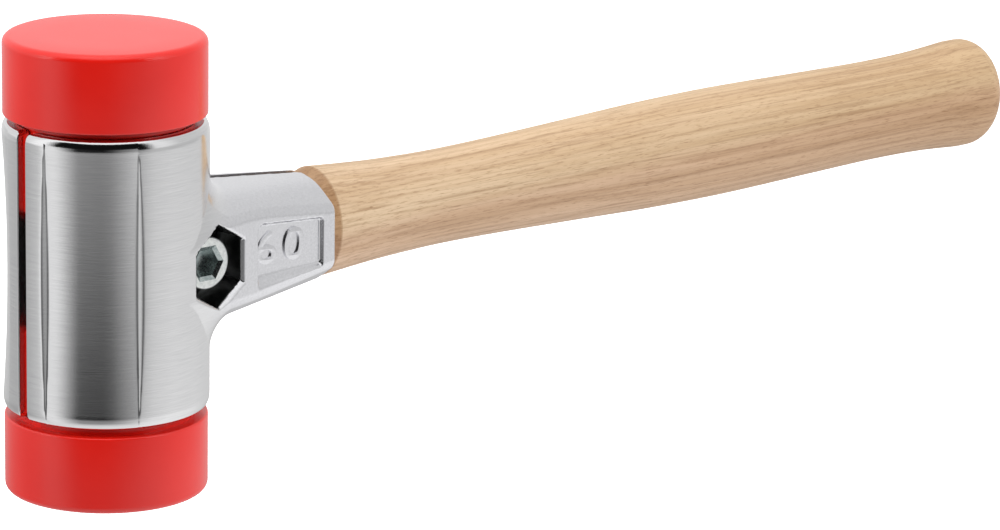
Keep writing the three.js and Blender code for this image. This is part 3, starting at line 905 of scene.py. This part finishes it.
def makeFloor():
    bm = bmesh.new()
    bmesh.ops.create_grid(bm, x_segments=1, y_segments=1, size=studio["floorSize"])
    down = (0, 0, -studio["floorDrop"])  # room for the pulled lower face
    bmesh.ops.translate(bm, verts=bm.verts, vec=down)
    floor = bpy.data.objects.new("floor", meshFrom(bm, "floor"))
    bpy.context.scene.collection.objects.link(floor)
    material, nodes, links, shader = newMaterial("floorPaper")
    shader.inputs["Base Color"].default_value = (*studio["floorTone"], 1)
    shader.inputs["Roughness"].default_value = studio["floorRough"]
    shader.inputs["Specular IOR Level"].default_value = 0
    rays = nodes.new("ShaderNodeLightPath")
    glow = nodes.new("ShaderNodeEmission")
    links.new(calculate(nodes, links, "MULTIPLY", rays.outputs["Is Camera Ray"], studio["floorGlow"]),
              glow.inputs["Strength"])
    both = nodes.new("ShaderNodeAddShader")
    links.new(shader.outputs["BSDF"], both.inputs[0])
    links.new(glow.outputs["Emission"], both.inputs[1])
    links.new(both.outputs["Shader"], nodes["Material Output"].inputs["Surface"])
    floor.data.materials.append(material)
    # The surround's lower half stands in for the floor in reflections and bounced light
    floor.visible_glossy = False
    floor.visible_diffuse = False
    floor.visible_transmission = False
    floor.visible_shadow = False


def levelRing(nodes, links, turn, stops):
    return rampOn(nodes, links, turn, [(angle / 360 + 0.5, (level, level, level)) for angle, level in stops])


def makeWorld():
    s = studio
    world = bpy.data.worlds.new("studio")
    world.use_nodes = True
    nodes, links = world.node_tree.nodes, world.node_tree.links
    place = nodes.new("ShaderNodeTexCoord")
    mapping = nodes.new("ShaderNodeMapping")
    mapping.inputs["Rotation"].default_value = (0, 0, math.radians(-s["darkSide"]))
    links.new(place.outputs["Generated"], mapping.inputs["Vector"])
    axes = nodes.new("ShaderNodeSeparateXYZ")
    links.new(mapping.outputs["Vector"], axes.inputs["Vector"])
    angle = calculate(nodes, links, "ARCTAN2", axes.outputs["Y"], axes.outputs["X"])
    turn = spread(nodes, links, angle, 0, 1, -math.pi, math.pi)
    tone = levelRing(nodes, links, turn, s["under"])
    for ring, blend in (("below", "underToBelow"), ("horizon", "belowToHorizon"),
                        ("front", "horizonToFront"), ("above", "frontToAbove")):
        share = spread(nodes, links, axes.outputs["Z"], 0, 1, *s[blend])
        tone = mixColours(nodes, links, share, tone, levelRing(nodes, links, turn, s[ring]))
    background = nodes["Background"]
    links.new(tone, background.inputs["Color"])
    seen = nodes.new("ShaderNodeBackground")
    seen.inputs["Color"].default_value = (1, 1, 1, 1)
    rays = nodes.new("ShaderNodeLightPath")
    mix = nodes.new("ShaderNodeMixShader")
    links.new(rays.outputs["Is Camera Ray"], mix.inputs["Fac"])
    links.new(background.outputs["Background"], mix.inputs[1])
    links.new(seen.outputs["Background"], mix.inputs[2])
    links.new(mix.outputs["Shader"], nodes["World Output"].inputs["Surface"])
    bpy.context.scene.world = world


lamps = {
    "topBox": {"place": (0.1, 0.1, 1.7), "aim": (0.1, 0, 0.07), "size": (1.2, 0.8), "power": 9.5},
    "leftBox": {"place": (-1.39, 0.42, 0.75), "aim": (0, 0, 0.07), "size": (0.6, 1.0), "power": 18},
    "rightBox": {"place": (0.57, -1.33, 0.75), "aim": (0, 0, 0.07), "size": (0.6, 1.0), "power": 16},
    "lowBox": {"place": (0.1, -0.5, -0.95), "aim": (0.15, 0, 0.07), "size": (1.4, 1.4), "power": 3.5},
}


def makeLamp(name, settings):
    data = bpy.data.lights.new(name, "AREA")
    data.shape = "RECTANGLE"
    data.size, data.size_y = settings["size"]
    data.energy = settings["power"]
    lamp = bpy.data.objects.new(name, data)
    bpy.context.scene.collection.objects.link(lamp)
    lamp.location = settings["place"]
    away = Vector(settings["place"]) - Vector(settings["aim"])
    lamp.rotation_euler = away.to_track_quat("Z", "Y").to_euler()
    lamp.visible_glossy = False


makeFloor()
makeWorld()
for lampName, lampSettings in lamps.items():
    makeLamp(lampName, lampSettings)
bpy.context.scene.view_settings.view_transform = "Standard"
print("studio made")
